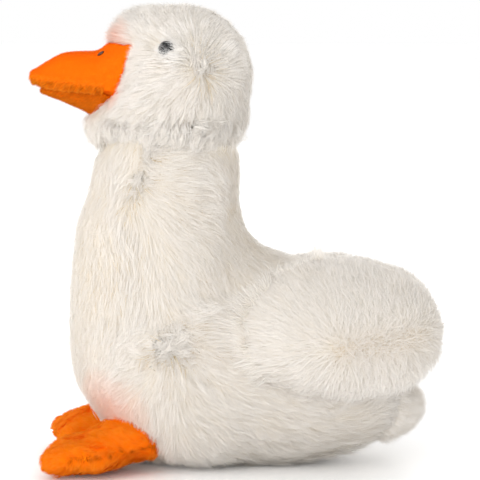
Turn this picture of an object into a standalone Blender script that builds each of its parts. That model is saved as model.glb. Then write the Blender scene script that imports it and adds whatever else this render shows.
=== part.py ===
"""Plush goose, sitting, about 29 cm tall.

Metres, +Z up. The goose looks along -Y, its left side is at +X, and the origin is
on the floor under the middle of its base. Every stuffed piece is modelled out to
the soft face of its fur, so its seams lie a little under these surfaces.
"""
import math

import bmesh
import bpy
from mathutils import Euler, Matrix, Vector
from mathutils.bvhtree import BVHTree

# Gap between pieces that touch
CLEARANCE = 0.0003

# Breast and neck: level ovals, from the base up
BASE_FRONT = 0.070
BASE_BACK = 0.030
BASE_WIDTH = 0.040
HAUNCH_HEIGHT = 0.013
HAUNCH_FRONT = 0.083
HAUNCH_WIDTH = 0.098
BELLY_HEIGHT = 0.046
BELLY_FRONT = 0.1035
BELLY_WIDTH = 0.120
BREAST_HEIGHT = 0.092
BREAST_FRONT = 0.109
BREAST_WIDTH = 0.128
CROP_HEIGHT = 0.160
CROP_FRONT = 0.103
CROP_WIDTH = 0.100
NECK_HEIGHT = 0.185
NECK_FRONT = 0.0925
NECK_BACK = 0.002
NECK_WIDTH = 0.084
NECK_TOP = 0.222
NECK_TOP_INSET = 0.004

# Rump: upright ovals, from inside the breast back to the tail
BELLY_SAG = 0.003
CORE_DEPTH = 0.050
CORE_HEIGHT = 0.134
SHOULDER_HEIGHT = 0.145
RUMP_WIDTH = 0.122
BACK_REACH = 0.035
BACK_HEIGHT = 0.135
LOIN_REACH = 0.068
LOIN_HEIGHT = 0.122
LOIN_LIFT = 0.005
LOIN_WIDTH = 0.112
HIP_REACH = 0.092
HIP_HEIGHT = 0.084
HIP_LIFT = 0.014
HIP_WIDTH = 0.088
RUMP_REACH = 0.100
RUMP_HEIGHT = 0.052
RUMP_LIFT = 0.027
RUMP_END_WIDTH = 0.048

# Head: a round crown and brow above a ruff of cheek and chin fur
CROWN_SIZE = (0.092, 0.098, 0.094)
CROWN_CENTRE = (0.0, -0.038, 0.246)
BROW_SIZE = (0.066, 0.050, 0.046)
BROW_CENTRE = (0.0, -0.061, 0.264)
CHEEK_SIZE = (0.096, 0.104, 0.062)
CHEEK_CENTRE = (0.0, -0.042, 0.222)
CHIN_SIZE = (0.060, 0.056, 0.040)
CHIN_CENTRE = (0.0, -0.075, 0.216)
FACE_START = 0.048
FACE_LENGTH = 0.034
FACE_TAPER = 0.34
FACE_LOW = 0.224
FACE_HIGH = 0.244

# Bill: a domed upper half with a rolled hem, over a shallow lower half
BILL_TIP = 0.131
BILL_ROOT = 0.058
BILL_ROOT_WIDTH = 0.052
BILL_TIP_WIDTH = 0.027
BILL_RIDGE_ROOT = 0.2665
BILL_RIDGE_TIP = 0.2615
BILL_EDGE_ROOT = 0.237
BILL_EDGE_TIP = 0.244
BILL_BLUNT = 0.72
BILL_NOSE = 0.18
BILL_SQUARE = 0.82
HEM_DEPTH = 0.0042
HEM_OVERHANG = 0.0020
LOWER_BILL_DEPTH = 0.016
LOWER_BILL_INSET = 0.0035
LOWER_BILL_SHORT = 0.004
LOWER_BILL_TAPER = 0.78

# Eyes: a domed button with a ribbed shank, and the lock washer behind the plush
EYE_DIAMETER = 0.0105
EYE_DOME = 0.0042
EYE_RIM = 0.0006
EYE_SUNK = 0.0010
EYE_BACK_SET = 0.045
EYE_HEIGHT = 0.266
SHANK_DIAMETER = 0.0040
SHANK_LENGTH = 0.0130
RIB_PITCH = 0.0026
RIB_DEPTH = 0.0002
WASHER_DIAMETER = 0.0140
WASHER_THICKNESS = 0.0020
WASHER_DEPTH = 0.0060

# Nostrils: one satin stitch each side of the bill's ridge
NOSTRIL_LENGTH = 0.0050
NOSTRIL_WIDTH = 0.0019
NOSTRIL_RISE = 0.0014
NOSTRIL_REACH = 0.090
NOSTRIL_SPACING = 0.012

# Wings: thick pads that slope from the spine down and out
WING_LENGTH = 0.140
WING_BREADTH = 0.101
WING_THICKNESS = 0.062
WING_SLOPE = math.radians(43)
WING_PITCH = math.radians(-5)
WING_CENTRE = (0.041, 0.056, 0.0940)
WING_TIP_SIZE = (0.090, 0.092, 0.058)
WING_TIP_SHIFT = 0.028
WING_PARTING = 0.004

# Tail
TAIL_SIZE = (0.066, 0.060, 0.046)
TAIL_CENTRE = (0.0, 0.090, 0.035)
TAIL_LIFT = math.radians(12)

# Feet: three stuffed toes and their web, fanned out from a raised instep
HEEL = (0.031, -0.066)
INSTEP_SIZE = (0.046, 0.054, 0.034)
INSTEP_HEIGHT = 0.0205
INSTEP_TILT = math.radians(-14)
TOE_WIDTH = 0.028
TOE_THICKNESS = 0.024
TOE_TIP_THICKNESS = 0.022
SOLE_FLAT = 0.001
HEEL_LIFT = 0.005
INNER_TOE = (math.radians(-17), 0.042, 0.0)
MIDDLE_TOE = (math.radians(23), 0.051, 0.0)
OUTER_TOE = (math.radians(46), 0.032, 0.003)
WEB_SIZE = (0.060, 0.066, 0.022)
WEB_REACH = 0.026
WEB_TURN = math.radians(12)

# Fineness of the skins and of the turned pieces
BODY_VOXEL = 0.0096
HEAD_VOXEL = 0.0085
WING_VOXEL = 0.0092
TAIL_VOXEL = 0.0060
FOOT_VOXEL = 0.0052
SEGMENTS = 16

# Side of the blocks that trim pieces at the floor and the middle
BLOCK = 0.60


def clear_scene():
    for item in list(bpy.data.objects):
        bpy.data.objects.remove(item, do_unlink=True)


def finish(name, colour, roughness, metallic=0.0):
    """A plain surface in linear colour."""
    made = bpy.data.materials.new(name)
    made.use_nodes = True
    shader = made.node_tree.nodes["Principled BSDF"]
    shader.inputs["Base Color"].default_value = (*colour, 1.0)
    shader.inputs["Roughness"].default_value = roughness
    shader.inputs["Metallic"].default_value = metallic
    return made


def piece_from(name, shape, surface):
    """Turn a bmesh into a named object with one material."""
    bmesh.ops.recalc_face_normals(shape, faces=shape.faces)
    mesh = bpy.data.meshes.new(name)
    shape.to_mesh(mesh)
    shape.free()
    mesh.materials.append(surface)
    mesh.shade_smooth()
    piece = bpy.data.objects.new(name, mesh)
    bpy.context.collection.objects.link(piece)
    return piece


def settle(piece):
    """Apply a piece's modifiers, so that its neighbours can be cut to its true faces."""
    bpy.context.view_layer.update()
    seen = piece.evaluated_get(bpy.context.evaluated_depsgraph_get())
    mesh = bpy.data.meshes.new_from_object(seen)
    piece.modifiers.clear()
    piece.data = mesh
    shape = bmesh.new()
    shape.from_mesh(mesh)
    bmesh.ops.triangulate(shape, faces=shape.faces)
    shape.to_mesh(mesh)
    shape.free()
    mesh.shade_smooth()
    return piece


def add_lobe(shape, centre, size, turn=(0.0, 0.0, 0.0), fineness=4):
    """One stuffed lobe: an ellipsoid of a given size, turned and moved into place."""
    placed = Matrix.Translation(centre) @ Euler(turn).to_matrix().to_4x4()
    scaled = placed @ Matrix.Diagonal((size[0] / 2, size[1] / 2, size[2] / 2, 1.0))
    bmesh.ops.create_icosphere(shape, subdivisions=fineness, radius=1.0, matrix=scaled)


def add_loft(shape, rings):
    """Skin a row of rings with equal numbers of points, and close both ends."""
    rows = [[shape.verts.new(point) for point in ring] for ring in rings]
    for low, high in zip(rows, rows[1:]):
        for i, start in enumerate(low):
            j = (i + 1) % len(low)
            shape.faces.new((start, low[j], high[j], high[i]))
    for row in (rows[0], rows[-1]):
        middle = sum((vert.co for vert in row), Vector()) / len(row)
        pole = shape.verts.new(middle)
        for i, start in enumerate(row):
            shape.faces.new((start, row[(i + 1) % len(row)], pole))


def eased(stations, share):
    """Read a smooth curve through the stations, from 0 at the first to 1 at the last."""
    last = len(stations) - 1
    spot = share * last
    i = min(int(spot), last - 1)
    t = spot - i
    before, start, end, after = (stations[min(max(i + k, 0), last)] for k in (-1, 0, 1, 2))
    read = []
    for a, b, c, d in zip(before, start, end, after):
        bend = (c - a) / 2 * t * (1 - t) ** 2 - (d - b) / 2 * t**2 * (1 - t)
        read.append(b + (c - b) * t * t * (3 - 2 * t) + bend)
    return read


def soft_skin(piece, voxel, rounds):
    """Fuse a piece's lobes into one skin and ease it until they flow together."""
    skin = piece.modifiers.new("skin", "REMESH")
    skin.mode = "VOXEL"
    skin.voxel_size = voxel
    ease = piece.modifiers.new("ease", "SMOOTH")
    ease.factor = 0.5
    ease.iterations = rounds
    return settle(piece)


def cut_by(piece, others, gap=CLEARANCE):
    """Cut a piece back to leave a gap to each of the other pieces."""
    for other in others:
        grown = other.data.copy()
        for vert, normal in zip(grown.vertices, other.data.vertex_normals):
            vert.co = vert.co + gap * normal.vector
        tool = bpy.data.objects.new("tool", grown)
        bpy.context.collection.objects.link(tool)
        cut = piece.modifiers.new("cut", "BOOLEAN")
        cut.operation = "DIFFERENCE"
        cut.solver = "EXACT"
        cut.object = tool
        settle(piece)
        bpy.data.objects.remove(tool, do_unlink=True)
    return piece


def trim(piece, centre):
    """Cut a piece with a large block, to lay it flat on the floor or keep it off the middle."""
    shape = bmesh.new()
    bmesh.ops.create_cube(shape, size=BLOCK, matrix=Matrix.Translation(centre))
    block = piece_from("block", shape, piece.data.materials[0])
    cut_by(piece, [block], gap=0.0)
    bpy.data.objects.remove(block, do_unlink=True)
    return piece


def stand_on_floor(piece):
    return trim(piece, (0.0, 0.0, -BLOCK / 2))


def keep_largest(piece):
    """Keep the largest body that a cut leaves, and drop the slivers beside it."""
    shape = bmesh.new()
    shape.from_mesh(piece.data)
    islands = []
    waiting = set(shape.verts)
    while waiting:
        island = []
        edge = [waiting.pop()]
        while edge:
            vert = edge.pop()
            island.append(vert)
            for link in vert.link_edges:
                near = link.other_vert(vert)
                if near in waiting:
                    waiting.remove(near)
                    edge.append(near)
        islands.append(island)
    islands.sort(key=len)
    for island in islands[:-1]:
        bmesh.ops.delete(shape, geom=island, context="VERTS")
    shape.to_mesh(piece.data)
    shape.free()
    return piece


def mirrored(piece, name):
    """The same piece for the goose's right side."""
    shape = bmesh.new()
    shape.from_mesh(piece.data)
    bmesh.ops.scale(shape, vec=(-1.0, 1.0, 1.0), verts=shape.verts)
    bmesh.ops.reverse_faces(shape, faces=shape.faces)
    return piece_from(name, shape, piece.data.materials[0])


def make_body(surface):
    """Breast and neck as a stack of level ovals, with the rump lofted out behind them."""
    column = (
        (-BELLY_SAG, -BASE_FRONT, BASE_BACK, BASE_WIDTH),
        (HAUNCH_HEIGHT, -HAUNCH_FRONT, BASE_BACK, HAUNCH_WIDTH),
        (BELLY_HEIGHT, -BELLY_FRONT, BASE_BACK, BELLY_WIDTH),
        (BREAST_HEIGHT, -BREAST_FRONT, BASE_BACK, BREAST_WIDTH),
        (CROP_HEIGHT, -CROP_FRONT, NECK_BACK, CROP_WIDTH),
        (NECK_HEIGHT, -NECK_FRONT, NECK_BACK, NECK_WIDTH),
        (NECK_TOP, NECK_TOP_INSET - NECK_FRONT, NECK_BACK - NECK_TOP_INSET, NECK_WIDTH),
    )
    shape = bmesh.new()
    rings = []
    for level in range(30):
        height, front, back, width = eased(column, level / 29)
        middle = (front + back) / 2
        reach = (back - front) / 2
        angles = (math.tau * step / 32 for step in range(32))
        rings.append([(width / 2 * math.cos(a), middle + reach * math.sin(a), height) for a in angles])
    add_loft(shape, rings)
    rump = (
        (-CORE_DEPTH, -BELLY_SAG, CORE_HEIGHT, RUMP_WIDTH),
        (0.0, -BELLY_SAG, SHOULDER_HEIGHT, RUMP_WIDTH),
        (BACK_REACH, -BELLY_SAG, BACK_HEIGHT, RUMP_WIDTH),
        (LOIN_REACH, LOIN_LIFT, LOIN_HEIGHT, LOIN_WIDTH),
        (HIP_REACH, HIP_LIFT, HIP_HEIGHT, HIP_WIDTH),
        (RUMP_REACH, RUMP_LIFT, RUMP_HEIGHT, RUMP_END_WIDTH),
    )
    rings = []
    for level in range(26):
        back, low, high, width = eased(rump, level / 25)
        middle = (low + high) / 2
        reach = (high - low) / 2
        angles = (math.tau * step / 32 for step in range(32))
        rings.append([(width / 2 * math.cos(a), back, middle + reach * math.sin(a)) for a in angles])
    add_loft(shape, rings)
    body = piece_from("body", shape, surface)
    soft_skin(body, BODY_VOXEL, 6)
    return stand_on_floor(body)


def make_head(surface, body):
    """Crown, brow, cheeks and chin in one skin, which narrows towards the bill."""
    shape = bmesh.new()
    add_lobe(shape, CROWN_CENTRE, CROWN_SIZE)
    add_lobe(shape, BROW_CENTRE, BROW_SIZE)
    add_lobe(shape, CHEEK_CENTRE, CHEEK_SIZE)
    add_lobe(shape, CHIN_CENTRE, CHIN_SIZE)
    head = piece_from("head", shape, surface)
    soft_skin(head, HEAD_VOXEL, 3)
    for vert in head.data.vertices:
        ahead = min(max((-vert.co.y - FACE_START) / FACE_LENGTH, 0.0), 1.0)
        above = min(max((vert.co.z - FACE_LOW) / (FACE_HIGH - FACE_LOW), 0.0), 1.0)
        below = min(max((CROWN_CENTRE[2] + CROWN_SIZE[2] / 2 - vert.co.z) / (FACE_HIGH - FACE_LOW), 0.0), 1.0)
        vert.co.x *= 1.0 - FACE_TAPER * ahead * above * below
    return keep_largest(cut_by(head, [body]))


def bill_ring(share, lower):
    """One section across half of the bill, from the root at 0 to the tip at 1."""
    blunt = max(0.0, (share - BILL_BLUNT) / (1.0 - BILL_BLUNT))
    round_off = BILL_NOSE + (1.0 - BILL_NOSE) * math.sqrt(max(0.0, 1.0 - blunt**2))
    half = (BILL_ROOT_WIDTH + (BILL_TIP_WIDTH - BILL_ROOT_WIDTH) * share) / 2 * round_off
    edge = BILL_EDGE_ROOT + (BILL_EDGE_TIP - BILL_EDGE_ROOT) * share
    ridge = BILL_RIDGE_ROOT + (BILL_RIDGE_TIP - BILL_RIDGE_ROOT) * share
    crest = edge + HEM_DEPTH / 2 + (ridge - edge - HEM_DEPTH / 2) * (1.0 - share**6)
    tip = BILL_TIP
    up = crest - edge
    down = HEM_DEPTH
    if lower:
        half -= LOWER_BILL_INSET * round_off
        tip -= LOWER_BILL_SHORT
        edge -= HEM_DEPTH
        up = HEM_DEPTH / 4
        down = LOWER_BILL_DEPTH * (1.0 - LOWER_BILL_TAPER * share**1.5)
    ahead = BILL_ROOT + (tip - BILL_ROOT) * share
    ring = []
    for step in range(20):
        angle = math.tau * step / 20
        across = math.copysign(abs(math.cos(angle)) ** BILL_SQUARE, math.cos(angle))
        lift = math.copysign(abs(math.sin(angle)) ** BILL_SQUARE, math.sin(angle))
        lip = 0.0 if lower else HEM_OVERHANG * math.exp(-(((lift + 0.25) / 0.3) ** 2))
        rise = up if lift > 0.0 else down
        ring.append(((half + lip) * across, -ahead - lip * share, edge + rise * lift))
    return ring


def make_bill(surface, head):
    pieces = []
    for name, lower in (("upper_bill", False), ("lower_bill", True)):
        shape = bmesh.new()
        add_loft(shape, [bill_ring(step / 20, lower) for step in range(21)])
        pieces.append(piece_from(name, shape, surface))
    upper, lower = pieces
    settle(upper)
    settle(lower)
    cut_by(upper, [head])
    cut_by(lower, [head, upper])
    return keep_largest(upper), keep_largest(lower)


def turned(name, profile, surface, seat, ring=False):
    """A turned piece: a profile of radius and height, closed on its axis or into a ring."""
    shape = bmesh.new()
    rows = []
    for radius, height in profile:
        if radius <= 0.0:
            rows.append([shape.verts.new((0.0, 0.0, height))] * SEGMENTS)
            continue
        angles = (math.tau * step / SEGMENTS for step in range(SEGMENTS))
        rows.append([shape.verts.new((radius * math.cos(a), radius * math.sin(a), height)) for a in angles])
    if ring:
        rows.append(rows[0])
    for low, high in zip(rows, rows[1:]):
        for i in range(SEGMENTS):
            j = (i + 1) % SEGMENTS
            corners = list(dict.fromkeys((low[i], low[j], high[j], high[i])))
            shape.faces.new(corners)
    shape.transform(seat)
    made = piece_from(name, shape, surface)
    made.data.set_sharp_from_angle(angle=math.radians(35))
    return made


def seat_on(piece, start, heading):
    """The place where a straight line meets a piece, with +Z along the surface's normal."""
    bpy.context.view_layer.update()
    tree = BVHTree.FromObject(piece, bpy.context.evaluated_depsgraph_get())
    place, normal, _, _ = tree.ray_cast(Vector(start), Vector(heading))
    return Matrix.Translation(place) @ normal.to_track_quat("Z", "Y").to_matrix().to_4x4()


def make_eye(name, surface, washer_surface, head, side):
    """The eye's button and shank, its washer, and the socket that they fill in the head."""
    seat = seat_on(head, (side * BLOCK, -EYE_BACK_SET, EYE_HEIGHT), (-side, 0.0, 0.0))
    seat = seat @ Matrix.Translation((0.0, 0.0, -EYE_SUNK))
    radius = EYE_DIAMETER / 2
    shank = SHANK_DIAMETER / 2
    button = []
    for step in range(7):
        angle = math.pi / 2 * step / 6
        button.append((radius * math.sin(angle), EYE_DOME * math.cos(angle) + EYE_RIM))
    button += [(radius, 0.0), (shank, 0.0)]
    ribs = []
    depth = RIB_PITCH
    while depth < SHANK_LENGTH - RIB_PITCH:
        ribs.append((shank, -depth))
        ribs.append((shank + RIB_DEPTH, -depth - RIB_PITCH / 4))
        ribs.append((shank, -depth - RIB_PITCH / 2))
        depth += RIB_PITCH
    point = [(shank, SHANK_DIAMETER / 4 - SHANK_LENGTH), (shank / 2, -SHANK_LENGTH), (0.0, -SHANK_LENGTH)]
    turned(name, button + ribs + point, surface, seat)
    outer = WASHER_DIAMETER / 2
    bore = shank + RIB_DEPTH + CLEARANCE
    top = -WASHER_DEPTH
    low = top - WASHER_THICKNESS
    collar = (outer + bore) / 2
    washer = [(bore, top), (collar, top), (outer, top - WASHER_THICKNESS / 2), (outer, low), (bore, low)]
    turned(name + "_washer", washer, washer_surface, seat, ring=True)
    gap = CLEARANCE
    mouth = EYE_DOME + EYE_DIAMETER
    room = [
        (0.0, mouth),
        (radius + gap, mouth),
        (radius + gap, -gap),
        (bore, -gap),
        (bore, top + gap),
        (collar, top + gap),
        (outer + gap, top + gap - WASHER_THICKNESS / 2),
        (outer + gap, low - gap),
        (bore, low - gap),
        (bore, -SHANK_LENGTH - gap),
        (0.0, -SHANK_LENGTH - gap),
    ]
    socket = turned("socket", room, surface, seat)
    cut_by(head, [socket], gap=0.0)
    bpy.data.objects.remove(socket, do_unlink=True)


def make_nostril(name, surface, bill, side):
    """A satin stitch pulled half its height into the bill."""
    start = (side * NOSTRIL_SPACING / 2, -NOSTRIL_REACH, BLOCK)
    seat = seat_on(bill, start, (0.0, 0.0, -1.0))
    shape = bmesh.new()
    add_lobe(shape, (0.0, 0.0, 0.0), (NOSTRIL_WIDTH, NOSTRIL_LENGTH, NOSTRIL_RISE), fineness=2)
    shape.transform(seat)
    cut_by(bill, [piece_from(name, shape, surface)])


def make_wing(name, surface, body):
    """A broad pad with a fuller tip, kept off the spine and cut to the body's side."""
    centre = Vector(WING_CENTRE)
    turn = (WING_PITCH, WING_SLOPE, 0.0)
    along = Euler(turn).to_matrix() @ Vector((0.0, 1.0, 0.0))
    shape = bmesh.new()
    add_lobe(shape, centre, (WING_BREADTH, WING_LENGTH, WING_THICKNESS), turn)
    add_lobe(shape, centre + WING_TIP_SHIFT * along, WING_TIP_SIZE, turn)
    wing = piece_from(name, shape, surface)
    soft_skin(wing, WING_VOXEL, 2)
    trim(wing, ((WING_PARTING - BLOCK) / 2, 0.0, 0.0))
    return keep_largest(cut_by(wing, [body]))


def make_tail(surface, body):
    shape = bmesh.new()
    add_lobe(shape, TAIL_CENTRE, TAIL_SIZE, (TAIL_LIFT, 0.0, 0.0))
    tail = piece_from("tail", shape, surface)
    soft_skin(tail, TAIL_VOXEL, 1)
    return keep_largest(cut_by(tail, [body]))


def make_foot(name, surface, body):
    """Three blunt toes, the web between them and a raised instep, under the breast."""
    shape = bmesh.new()
    add_lobe(shape, (*HEEL, INSTEP_HEIGHT), INSTEP_SIZE, (INSTEP_TILT, 0.0, 0.0))
    for angle, length, lift in (INNER_TOE, MIDDLE_TOE, OUTER_TOE):
        heel = Vector((*HEEL, TOE_THICKNESS / 2 - SOLE_FLAT + HEEL_LIFT))
        heading = Vector((math.sin(angle), -math.cos(angle), (lift - HEEL_LIFT) / length))
        turn = (math.atan2(HEEL_LIFT - lift, length), 0.0, angle)
        add_lobe(shape, heel + heading * length / 2, (TOE_WIDTH, length + TOE_WIDTH, TOE_THICKNESS), turn)
        add_lobe(shape, heel + heading * length, (TOE_WIDTH, TOE_WIDTH, TOE_TIP_THICKNESS), turn)
    ahead = Vector((math.sin(WEB_TURN), -math.cos(WEB_TURN), 0.0))
    web = Vector((*HEEL, (WEB_SIZE[2] + HEEL_LIFT) / 2)) + WEB_REACH * ahead
    add_lobe(shape, web, WEB_SIZE, (0.0, 0.0, WEB_TURN))
    foot = piece_from(name, shape, surface)
    soft_skin(foot, FOOT_VOXEL, 1)
    stand_on_floor(foot)
    return keep_largest(cut_by(foot, [body]))


def make_goose():
    fur = finish("white_fur", (0.86, 0.82, 0.74), 0.95)
    velour = finish("orange_velour", (1.0, 0.19, 0.005), 0.85)
    glossy = finish("black_eye", (0.01, 0.01, 0.01), 0.12)
    nylon = finish("white_nylon", (0.8, 0.8, 0.78), 0.5)
    thread = finish("brown_thread", (0.03, 0.012, 0.005), 0.6)
    body = make_body(fur)
    head = make_head(fur, body)
    upper_bill, _ = make_bill(velour, head)
    for hand, side in (("left", 1), ("right", -1)):
        make_eye(hand + "_eye", glossy, nylon, head, side)
        make_nostril(hand + "_nostril", thread, upper_bill, side)
    mirrored(make_wing("left_wing", fur, body), "right_wing")
    mirrored(make_foot("left_foot", velour, body), "right_foot")
    make_tail(fur, body)


clear_scene()
make_goose()
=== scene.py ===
import math

import bmesh
import bpy
import numpy as np
from mathutils import Matrix, Vector
from mathutils.bvhtree import BVHTree
from mathutils.kdtree import KDTree


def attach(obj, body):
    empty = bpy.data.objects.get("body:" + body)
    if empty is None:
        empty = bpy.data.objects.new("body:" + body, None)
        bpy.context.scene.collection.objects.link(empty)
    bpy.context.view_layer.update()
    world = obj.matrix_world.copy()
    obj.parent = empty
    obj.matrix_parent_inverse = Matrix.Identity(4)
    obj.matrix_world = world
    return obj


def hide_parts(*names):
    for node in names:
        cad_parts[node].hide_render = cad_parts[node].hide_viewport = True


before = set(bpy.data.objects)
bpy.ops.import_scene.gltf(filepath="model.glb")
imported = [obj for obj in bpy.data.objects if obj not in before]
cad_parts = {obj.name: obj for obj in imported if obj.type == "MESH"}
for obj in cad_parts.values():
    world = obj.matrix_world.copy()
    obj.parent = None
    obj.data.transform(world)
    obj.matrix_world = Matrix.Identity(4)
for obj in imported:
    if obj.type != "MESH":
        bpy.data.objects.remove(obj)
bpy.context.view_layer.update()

# Body and neck
# One stuffed bag of knitted backing with a long white pile. It is sewn from a left and a
# right panel, filled with loose fibre, and puckers at a gathered dart low on each flank.
BODY_PILE_DEPTH = 0.0034
BODY_PILE_LENGTH = 0.0150
BODY_HAIR_WIDTH = 0.00040
UNDERFUR_TUFT_MM = 1.11
FILLING_FRAMES = 20
SEAM_ALLOWANCE = 0.0095
SEWN_GAP = 0.0022
SEWN_SEARCH = 0.020
FLOOR_GAP = 0.0004


def linear(code):
    """Linear colour of an sRGB hex value."""
    parts = [int(code[i : i + 2], 16) / 255 for i in (0, 2, 4)]
    return [c / 12.92 if c <= 0.04045 else ((c + 0.055) / 1.055) ** 2.4 for c in parts] + [1.0]


def add(tree, kind, settings=None, **links):
    """A shader node with its settings and the sockets or values that feed it."""
    made = tree.nodes.new(kind)
    for key, value in (settings or {}).items():
        setattr(made, key, value)
    for key, value in links.items():
        wanted = key.replace("_", " ").lower()
        spot = next(s for s in made.inputs if s.enabled and s.name.lower() == wanted)
        if isinstance(value, bpy.types.NodeSocket):
            tree.links.new(value, spot)
        else:
            spot.default_value = value
    return made


def graded(tree, factor, *stops):
    """A colour ramp through hex colours at given places."""
    ramp = add(tree, "ShaderNodeValToRGB", Fac=factor)
    marks = ramp.color_ramp.elements
    while len(marks) < len(stops):
        marks.new(0.5)
    for mark, (place, code) in zip(marks, stops):
        mark.position = place
        mark.color = linear(code)
    return ramp.outputs["Color"]


def surface(name, roughness, **constants):
    """A material with its Principled shader and node tree."""
    made = bpy.data.materials.new(name)
    made.use_nodes = True
    shader = made.node_tree.nodes["Principled BSDF"]
    shader.inputs["Roughness"].default_value = roughness
    for key, value in constants.items():
        shader.inputs[key.replace("_", " ")].default_value = value
    return made, made.node_tree, shader


def piled(name, roughness, specular, along, tints, through):
    """Fibres coloured from root to tip by one ramp, times a tint of each hair's own by another.

    A share of the light passes through them, as it does through fine fibre.
    """
    made, tree, shader = surface(name, roughness, Specular_IOR_Level=specular)
    place = add(tree, "ShaderNodeUVMap", {"uv_map": "OFBake"})
    split = add(tree, "ShaderNodeSeparateXYZ", Vector=place.outputs["UV"])
    lengthwise = graded(tree, split.outputs["Y"], *along)
    tinted = graded(tree, split.outputs["X"], *tints)
    mixed = add(tree, "ShaderNodeMix", {"data_type": "RGBA", "blend_type": "MULTIPLY"}, Factor=1.0)
    tree.links.new(lengthwise, mixed.inputs[6])
    tree.links.new(tinted, mixed.inputs[7])
    colour = mixed.outputs[2]
    tree.links.new(colour, shader.inputs["Base Color"])
    glow = add(tree, "ShaderNodeBsdfTranslucent", Color=colour)
    both = add(tree, "ShaderNodeMixShader", Fac=through)
    tree.links.new(shader.outputs["BSDF"], both.inputs[1])
    tree.links.new(glow.outputs["BSDF"], both.inputs[2])
    tree.links.new(both.outputs["Shader"], tree.nodes["Material Output"].inputs["Surface"])
    return made


def mottled(name, roughness, grain_mm, dark, light, relief=0.0, **constants):
    """A finish whose colour wanders between two hex values over a grain of a width in mm."""
    made, tree, shader = surface(name, roughness, **constants)
    spot = add(tree, "ShaderNodeTexCoord").outputs["Object"]
    grain = add(tree, "ShaderNodeTexNoise", Vector=spot, Scale=1000.0 / grain_mm, Detail=3.0)
    colour = graded(tree, grain.outputs["Fac"], (0.3, dark), (0.7, light))
    tree.links.new(colour, shader.inputs["Base Color"])
    if relief > 0.0:
        bump = add(tree, "ShaderNodeBump", Height=grain.outputs["Fac"], Strength=0.5, Distance=relief)
        tree.links.new(bump.outputs["Normal"], shader.inputs["Normal"])
    return made


# Polyester faux fur: cream at the root where little light reaches, as painted shade, clean white
# at the tip. The tints run from plain fibres to cream ones that paint the shade deep in a gather
# or a fold, then to pink ones near orange cloth
white_fur = piled(
    "polyester_faux_fur",
    roughness=0.65,
    specular=0.25,
    along=((0.0, "F9F6F0"), (0.45, "FDFBF8"), (1.0, "FFFEFD")),
    tints=(
        (0.0, "FFFFFF"),
        (0.30, "FDFBF8"),
        (0.50, "DEC898"),
        (0.62, "FFFAF7"),
        (0.80, "FCE6DC"),
        (1.0, "F9BFA4"),
    ),
    through=0.62,
)

# Knitted backing with its dense underfur: a fine matt nap that closes the gaps between tufts,
# cream, and a little darker than the fibres as painted shade between the tufts
backing = mottled("knitted_fur_backing", 0.9, UNDERFUR_TUFT_MM, "F4ECDC", "FBF5EA", relief=0.0006)

# The same backing where a seam or a gather draws it in, painted darker cream as the shade there
painted_seam_shade = mottled("knitted_backing_with_painted_seam_shade", 0.9, UNDERFUR_TUFT_MM, "B9A988", "D3C6AA")


def lined(skin, cloth, chosen):
    """Give a bag's faces another cloth where its measure at their centres is above a half."""
    skin.data.materials.append(cloth)
    slots = numbers(skin.data.polygons, "material_index", 1)[:, 0].astype(np.int32)
    slots[chosen(numbers(skin.data.polygons, "center")) > 0.5] = len(skin.data.materials) - 1
    skin.data.polygons.foreach_set("material_index", slots)


def numbers(items, name, width=3):
    """One property of all of a mesh's parts, as rows of numbers."""
    found = np.empty(len(items) * width, np.float32)
    items.foreach_get(name, found)
    return found.reshape(-1, width).astype(float)


def unit(vectors):
    """The same directions with a length of one."""
    return vectors / np.maximum(np.linalg.norm(vectors, axis=1, keepdims=True), 1e-9)


def applied(piece):
    """Make a piece's modifiers part of its mesh."""
    bpy.context.view_layer.update()
    seen = piece.evaluated_get(bpy.context.evaluated_depsgraph_get())
    mesh = bpy.data.meshes.new_from_object(seen)
    piece.modifiers.clear()
    piece.data = mesh
    mesh.shade_smooth()
    return piece


def filled(piece, swell):
    """Let the filling press the bag's cloth outwards, but no point further than swell."""
    cloth = piece.modifiers.new("filling", "CLOTH")
    cloth.settings.quality = 4
    cloth.settings.use_pressure = True
    cloth.settings.uniform_pressure_force = 4.0
    cloth.settings.effector_weights.gravity = 0.0
    cloth.point_cache.frame_start = 1
    cloth.point_cache.frame_end = FILLING_FRAMES
    before = numbers(piece.data.vertices, "co")
    for moment in range(1, FILLING_FRAMES + 1):
        bpy.context.scene.frame_set(moment)
    seen = piece.evaluated_get(bpy.context.evaluated_depsgraph_get())
    after = numbers(seen.data.vertices, "co")
    piece.modifiers.clear()
    bpy.context.scene.frame_set(1)
    moved = after - before
    size = np.linalg.norm(moved, axis=1, keepdims=True)
    after = before + moved * np.minimum(1.0, swell / np.maximum(size, 1e-9))
    piece.data.vertices.foreach_set("co", after.ravel())
    piece.data.update()


def inside(tree, point):
    """Whether a point lies in a closed solid, by the walls that a line from it meets."""
    heading = Vector((0.31, 0.23, 0.92)).normalized()
    met = 0
    start = point
    while True:
        spot = tree.ray_cast(start, heading)[0]
        if spot is None:
            return met % 2 == 1
        met += 1
        start = spot + 1e-5 * heading


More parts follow.
